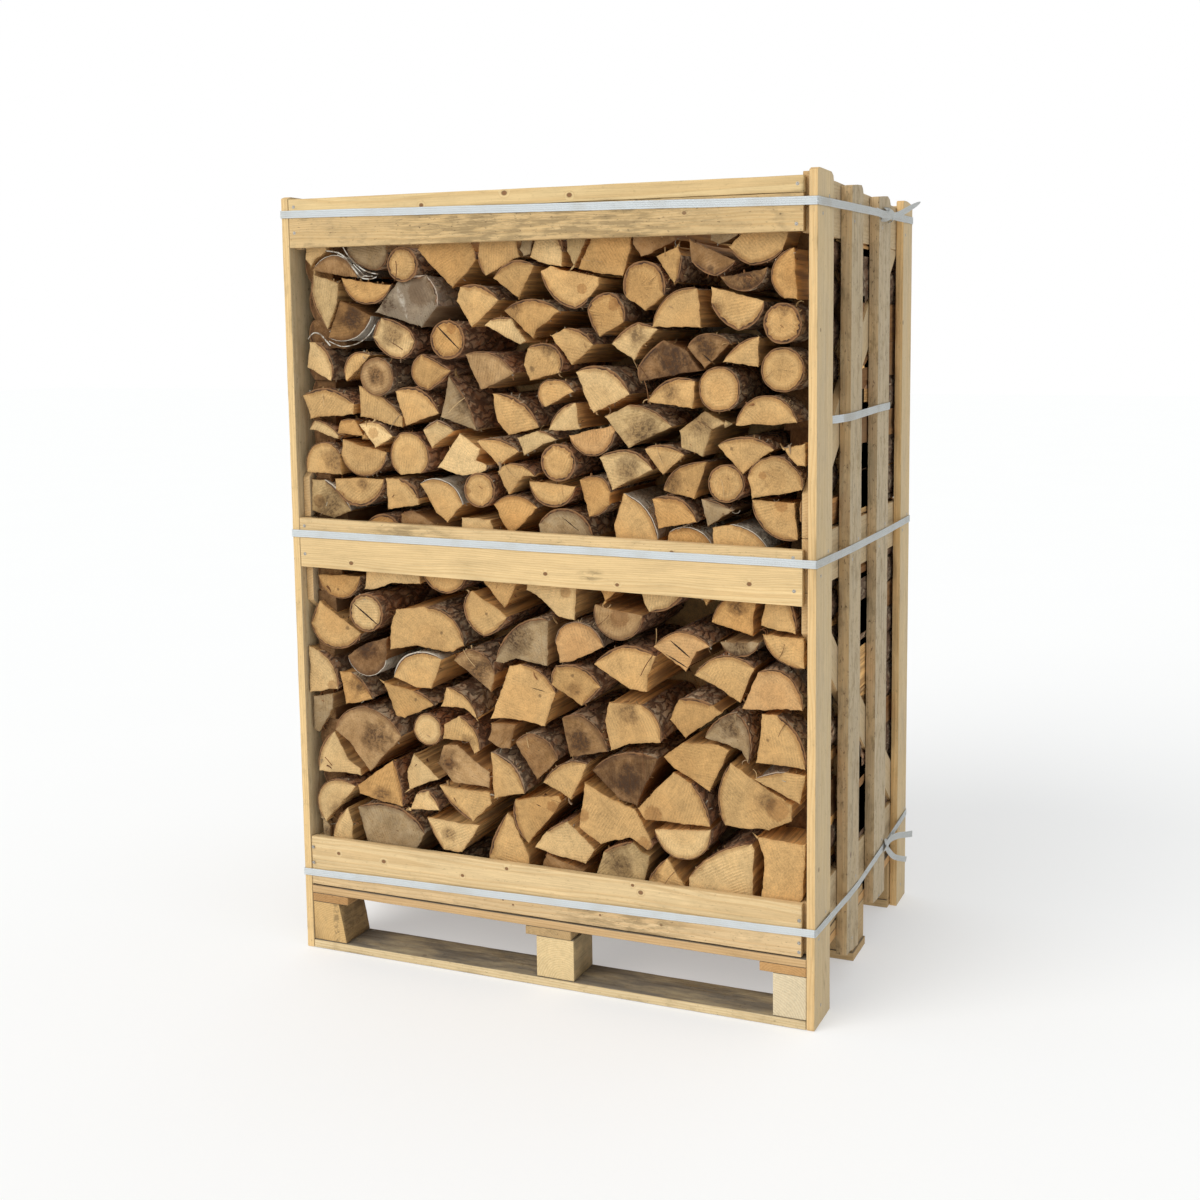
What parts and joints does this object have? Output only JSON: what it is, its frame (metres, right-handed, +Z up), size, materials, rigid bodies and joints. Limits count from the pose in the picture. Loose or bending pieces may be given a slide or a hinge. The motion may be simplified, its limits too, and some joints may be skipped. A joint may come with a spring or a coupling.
{
  "type": "crate of firewood",
  "caption": "Tall slatted wooden crate on a pallet, filled with stacked split firewood in rows and held by flat woven straps.",
  "frame": {"origin": "centre of the pallet's footprint on the ground, on the underside of the middle runner", "axes": "+Z up, +X to the right seen from the front, the front with the straight bands towards -Y"},
  "size_m": [1.2218, 0.8032, 1.686],
  "materials": {
    "front_boards": "rough-sawn pale pine boards of the front and back bands, with knots and grey stains",
    "side_boards": "rough-sawn pine slats, rails and braces, a little greyed on their outer faces",
    "pallet_boards": "rough-sawn pine pallet boards and blocks, weathered grey on top of the runners",
    "split_logs": "split logs: sawn honey-coloured ends, brown split faces, grey-brown bark",
    "woven_strap": "flat strap woven in a herringbone, pale blue-white, matt"
  },
  "bodies": {
    "root": {"back_band_bottom_lower_board": "front_boards", "back_band_bottom_upper_board": "front_boards", "back_band_middle_lower_board": "front_boards", "back_band_middle_upper_board": "front_boards", "back_band_top_lower_board": "front_boards", "back_band_top_upper_board": "front_boards", "firewood_row_back": "split_logs", "firewood_row_front": "split_logs", "firewood_row_middle": "split_logs", "front_band_bottom_lower_board": "front_boards", "front_band_bottom_upper_board": "front_boards", "front_band_middle_lower_board": "front_boards", "front_band_middle_upper_board": "front_boards", "front_band_top_lower_board": "front_boards", "front_band_top_upper_board": "front_boards", "left_brace_lower": "side_boards", "left_brace_upper": "side_boards", "left_rail_bottom": "side_boards", "left_rail_middle": "side_boards", "left_rail_top": "side_boards", "left_slat_1": "side_boards", "left_slat_2": "side_boards", "left_slat_3": "side_boards", "left_slat_4": "side_boards", "pallet_block_left_front": "pallet_boards", "pallet_block_left_middle": "pallet_boards", "pallet_block_left_rear": "pallet_boards", "pallet_block_middle_front": "pallet_boards", "pallet_block_middle_middle": "pallet_boards", "pallet_block_middle_rear": "pallet_boards", "pallet_block_right_front": "pallet_boards", "pallet_block_right_middle": "pallet_boards", "pallet_block_right_rear": "pallet_boards", "pallet_deck_board_1": "pallet_boards", "pallet_deck_board_2": "pallet_boards", "pallet_deck_board_3": "pallet_boards", "pallet_deck_board_4": "pallet_boards", "pallet_deck_board_5": "pallet_boards", "pallet_runner_front": "pallet_boards", "pallet_runner_middle": "pallet_boards", "pallet_runner_rear": "pallet_boards", "pallet_stringer_left": "pallet_boards", "pallet_stringer_middle": "pallet_boards", "pallet_stringer_right": "pallet_boards", "right_brace_lower": "side_boards", "right_brace_upper": "side_boards", "right_rail_bottom": "side_boards", "right_rail_middle": "side_boards", "right_rail_top": "side_boards", "right_slat_1": "side_boards", "right_slat_2": "side_boards", "right_slat_3": "side_boards", "right_slat_4": "side_boards", "strap_bottom": "woven_strap", "strap_middle": "woven_strap", "strap_top": "woven_strap", "tie_right_slats": "woven_strap"}
  },
  "joints": []
}
